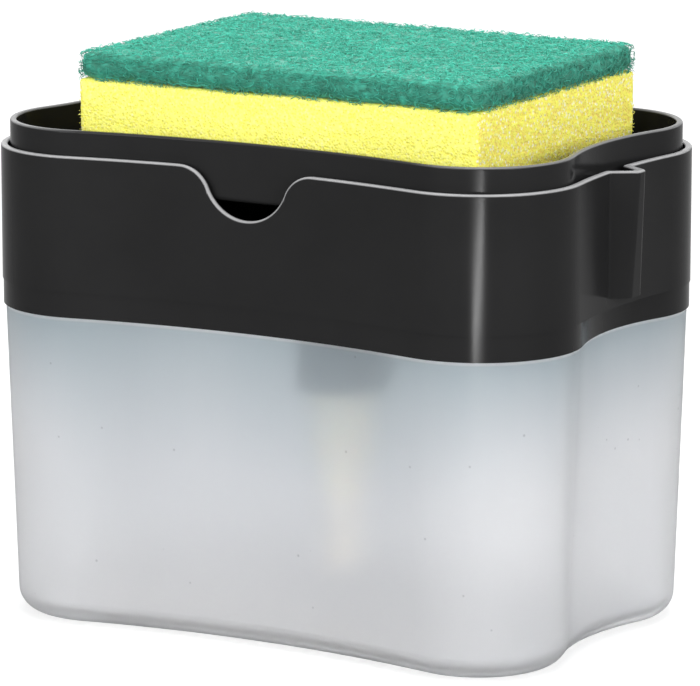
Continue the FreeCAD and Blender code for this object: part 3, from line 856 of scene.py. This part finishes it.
class CADDY_OT_scouring_pad(bpy.types.Operator):
    """Felt the scouring pad: a lumpy core under loose fibres with a fuzzy edge"""

    bl_idname = "caddy.scouring_pad"
    bl_label = "Scouring pad"

    def execute(self, context):
        props = context.scene.caddy_sponge
        low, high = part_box("scouring_pad")
        skin = Vector((PAD_SKIN, PAD_SKIN, 0.0))
        top_skin = Vector((0.0, 0.0, PAD_SKIN))
        shape = soft_block(low + skin, high - skin - top_skin, props.pad_edge, props.pad_mesh)
        shades = []
        shape.normal_update()
        for vert in shape.verts:
            lump = noise.noise(vert.co / PAD_LUMP_LENGTH) * PAD_LUMP
            tangle = noise.noise(vert.co / PAD_TANGLE_LENGTH + Vector((3.0, 5.0, 9.0)))
            vert.co += vert.normal * (lump + tangle * PAD_TANGLE)
            # Painted shade: raised tangles lighter, the sides darker towards the foot
            on_side = 1.0 - abs(vert.normal.z)
            share = min(1.0, max(0.0, (vert.co.z - low.z) / (high.z - low.z)))
            shaded = on_side * (CORE_FOOT_SHADE - CORE_RISE_SHADE * share)
            shade = CORE_SHADE + CORE_TANGLE_SHADE * tangle - shaded
            shades.append(min(1.0, max(0.0, shade)))
        core = mesh_of(shape, "scouring_pad_core")
        write_attribute(core, "fibre_shade", shades)
        material = green_fibre(props)
        piece = new_piece("scouring_pad_core", core, material, "sponge",
                          ("scouring_pad",))
        draw = random.Random(11)
        for name, number, face in (("scouring_pad_top_fibres", props.pad_top_fibres, "top"),
                                   ("scouring_pad_top_loops", props.pad_top_fibres, "loops"),
                                   ("scouring_pad_side_fibres", props.pad_side_fibres, "side")):
            self.lay_fibres(props, low, high, material, draw, name, number, face)
        return {"FINISHED"}

    def lay_fibres(self, props, low, high, material, draw, name, number, face):
        """Loose fibres on the pad's face, in loops standing off it, or on its sides."""
        centre, half = 0.5 * (low + high), 0.5 * (high - low)
        room, edge = PAD_FUZZ, props.pad_edge
        paths, shades = [], []
        for _ in range(number):
            length = draw.uniform(*FIBRE_LENGTHS) * MM
            turn = draw.uniform(0.0, 2.0 * math.pi)
            bend = draw.uniform(-FIBRE_BEND, FIBRE_BEND)
            radius = props.pad_fibre_radius * draw.uniform(*FIBRE_THICKNESS)
            if face == "side":
                side = draw.random() * (half.x + half.y)
                sign = draw.choice((-1.0, 1.0))
                along, across = (0, 1) if side < half.x else (1, 0)
                root = centre.copy()
                root[along] += draw.uniform(-1, 1) * (half[along] - SIDE_MARGIN)
                root[across] += sign * (half[across] - draw.uniform(*SIDE_DEPTHS) * MM)
                root.z = draw.uniform(low.z - 0.1 * MM, high.z - 0.4 * MM)
                ahead, aside, out = Vector((0, 0, 0)), Vector((0, 0, 0.55)), Vector((0, 0, 0))
                ahead[along] = 1.0
                out[across] = sign
                lift = draw.uniform(*SIDE_LIFTS) * MM
                # Painted shade: side fibres darker, most towards the foot
                shade = draw.gauss(SIDE_SHADE, FIBRE_SHADE_SPREAD)
                shade += 0.5 * ((root.z - low.z) / (high.z - low.z) - 0.45)
            else:
                root = Vector((centre.x + draw.uniform(-1, 1) * (half.x - TOP_MARGIN),
                               centre.y + draw.uniform(-1, 1) * (half.y - TOP_MARGIN),
                               high.z - draw.uniform(*TOP_DEPTHS) * MM))
                ahead, aside, out = Vector((1, 0, 0)), Vector((0, 1, 0)), Vector((0, 0, 1))
                lift = draw.uniform(*TOP_LIFTS) * MM
                # Painted light: face fibres lighter, loops standing off lighter still
                shade = draw.gauss(TOP_SHADE, FIBRE_SHADE_SPREAD)
                if face == "loops":
                    length *= 0.5
                    lift = draw.uniform(*LOOP_LIFTS) * MM
                    shade += LOOP_SHADE
            path = []
            for step in range(FIBRE_STEPS):
                share = step / (FIBRE_STEPS - 1)
                angle = turn + bend * (share - 0.5)
                heading = ahead * math.cos(angle) + aside * math.sin(angle)
                arch = lift * 4.0 * share * (1.0 - share)
                place = root + heading * (length * (share - 0.5)) + out * arch
                for axis in range(3):
                    place[axis] = min(high[axis] + room, max(low[axis] - room, place[axis]))
                inner = Vector((min(high.x - edge, max(low.x + edge, place.x)),
                                min(high.y - edge, max(low.y + edge, place.y)),
                                min(high.z - edge, place.z)))
                beyond = place - inner
                if beyond.length > edge + room:
                    place = inner + beyond.normalized() * (edge + room)
                at_tip = step in (0, FIBRE_STEPS - 1)
                path.append((place, radius * (FIBRE_TIP if at_tip else 1.0)))
            paths.append(path)
            shades.append(min(1.0, max(0.0, shade)))
        mesh = strands(name, paths)
        each = len(mesh.vertices) // number
        if each * number != len(mesh.vertices):
            raise RuntimeError("the fibres do not all have the same number of points")
        write_attribute(mesh, "fibre_shade", [shade for shade in shades for _ in range(each)])
        new_piece(name, mesh, material, "sponge")


class CADDY_OT_stage(bpy.types.Operator):
    """Lay the floor, hang the soft lights and place the camera"""

    bl_idname = "caddy.stage"
    bl_label = "Stage"

    def execute(self, context):
        props = context.scene.caddy_stage
        context.scene.view_settings.view_transform = "Standard"
        self.floor(props)
        self.room(context, props)
        for light in SOFT_LIGHTS:
            self.soft_light(*light)
        self.lobe_strip()
        self.camera(context, props)
        return {"FINISHED"}

    def floor(self, props):
        """The pale floor, white to the camera and shaded by the caddy."""
        shape = bmesh.new()
        bmesh.ops.create_circle(shape, cap_ends=True, segments=96, radius=props.floor_radius)
        bmesh.ops.translate(shape, vec=(0.0, 0.0, -FLOOR_DROP), verts=shape.verts)
        floor = bpy.data.objects.new("floor", mesh_of(shape, "floor", smooth=False))
        material, tree, shader = new_finish("floor_pale")
        speck = grain(tree, surface_place(tree), 3 * MM)
        paler = [min(1.0, 1.02 * c) for c in props.floor_colour[:3]] + [1.0]
        colour = tint(tree, speck, (0.3, props.floor_colour), (0.7, paler))
        tree.links.new(colour, shader.inputs["Base Color"])
        set_shader(shader, {
            "Roughness": 0.8, "Specular IOR Level": 0.1, "Emission Color": (1, 1, 1, 1)})
        path = add(tree, "ShaderNodeLightPath")
        mirrored = combine(
            tree, "MAXIMUM", path.outputs["Is Glossy Ray"], path.outputs["Is Transmission Ray"])
        mirrored = combine(tree, "MULTIPLY", mirrored, FLOOR_MIRRORED)
        seen = combine(tree, "MULTIPLY", path.outputs["Is Camera Ray"], FLOOR_SEEN)
        glow = combine(tree, "MAXIMUM", seen, mirrored)
        tree.links.new(glow, shader.inputs["Emission Strength"])
        floor.data.materials.append(material)
        bpy.context.scene.collection.objects.link(floor)

    def room(self, context, props):
        """Even light, and a white room for the camera, for gloss and through the frosted wall."""
        world = bpy.data.worlds.new("studio")
        context.scene.world = world
        world.use_nodes = True
        tree = world.node_tree
        light = tree.nodes["Background"]
        light.inputs["Color"].default_value = (1.0, 1.0, 1.0, 1.0)
        path = add(tree, "ShaderNodeLightPath")
        shown = combine(
            tree, "MAXIMUM", path.outputs["Is Camera Ray"], path.outputs["Is Glossy Ray"])
        shown = combine(tree, "MAXIMUM", shown, path.outputs["Is Transmission Ray"])
        strength = spread(tree, shown, props.ambient, 1.0, 0.0, 1.0)
        tree.links.new(strength, light.inputs["Strength"])

    def soft_light(self, name, place, size, power):
        """A wide lamp turned to the caddy."""
        lamp = bpy.data.lights.new(name, "AREA")
        lamp.shape = "RECTANGLE"
        lamp.size, lamp.size_y = size
        lamp.energy = power
        holder = bpy.data.objects.new(name, lamp)
        holder.location = place
        aim = LIGHT_AIM - holder.location
        holder.rotation_euler = aim.to_track_quat("-Z", "Y").to_euler()
        holder.visible_camera = False
        bpy.context.scene.collection.objects.link(holder)

    def lobe_strip(self):
        """A narrow lit strip lying in front of the near lobe, whose gleam runs up the collar."""
        along = STRIP_FAR - STRIP_NEAR
        lamp = bpy.data.lights.new("lobe_strip", "AREA")
        lamp.shape = "RECTANGLE"
        lamp.size, lamp.size_y = along.length, STRIP_WIDTH
        lamp.energy = STRIP_POWER
        holder = bpy.data.objects.new("lobe_strip", lamp)
        holder.location = 0.5 * (STRIP_NEAR + STRIP_FAR)
        holder.rotation_euler = (math.pi, 0.0, math.atan2(along.y, along.x))
        holder.visible_camera = False
        holder.visible_diffuse = False
        bpy.context.scene.collection.objects.link(holder)

    def camera(self, context, props):
        """The camera at the photograph's angle."""
        lens = bpy.data.cameras.new("photo_camera")
        lens.lens = props.lens
        lens.sensor_width = SENSOR_WIDTH
        lens.clip_start = 0.01
        lens.dof.use_dof = False
        holder = bpy.data.objects.new("photo_camera", lens)
        holder.location = props.camera_place
        back = Vector((math.sin(props.azimuth) * math.cos(props.elevation),
                       -math.cos(props.azimuth) * math.cos(props.elevation),
                       math.sin(props.elevation)))
        holder.rotation_euler = (-back).to_track_quat("-Z", "Y").to_euler()
        context.scene.collection.objects.link(holder)
        context.scene.camera = holder


class CADDY_PT_panel(bpy.types.Panel):
    """The caddy's pieces, in the order that they are made"""

    bl_idname = "CADDY_PT_panel"
    bl_label = "Soap pump caddy"
    bl_space_type = "VIEW_3D"
    bl_region_type = "UI"
    bl_category = "Caddy"

    def draw(self, context):
        for group in GROUPS:
            box = self.layout.box()
            settings = getattr(context.scene, group)
            for key in settings.bl_rna.properties.keys():
                if key not in ("rna_type", "name"):
                    box.prop(settings, key)
        for operator in OPERATORS:
            self.layout.operator(operator.bl_idname)


GROUPS = {
    "caddy_moulding": CaddyMouldingProps,
    "caddy_sponge": CaddySpongeProps,
    "caddy_spring": CaddySpringProps,
    "caddy_stage": CaddyStageProps,
}
OPERATORS = (
    CADDY_OT_black_mouldings,
    CADDY_OT_reservoir,
    CADDY_OT_pump_parts,
    CADDY_OT_return_spring,
    CADDY_OT_sponge_foam,
    CADDY_OT_scouring_pad,
    CADDY_OT_stage,
)
CLASSES = (*GROUPS.values(), *OPERATORS, CADDY_PT_panel)


def register():
    for kind in CLASSES:
        bpy.utils.register_class(kind)
    for group, kind in GROUPS.items():
        setattr(bpy.types.Scene, group, bpy.props.PointerProperty(type=kind))


def unregister():
    for group in GROUPS:
        delattr(bpy.types.Scene, group)
    for kind in reversed(CLASSES):
        bpy.utils.unregister_class(kind)


def main():
    register()
    bpy.ops.caddy.black_mouldings()
    bpy.ops.caddy.reservoir()
    bpy.ops.caddy.pump_parts()
    bpy.ops.caddy.return_spring()
    bpy.ops.caddy.sponge_foam()
    bpy.ops.caddy.scouring_pad()
    bpy.ops.caddy.stage()


if __name__ == "__main__":
    main()
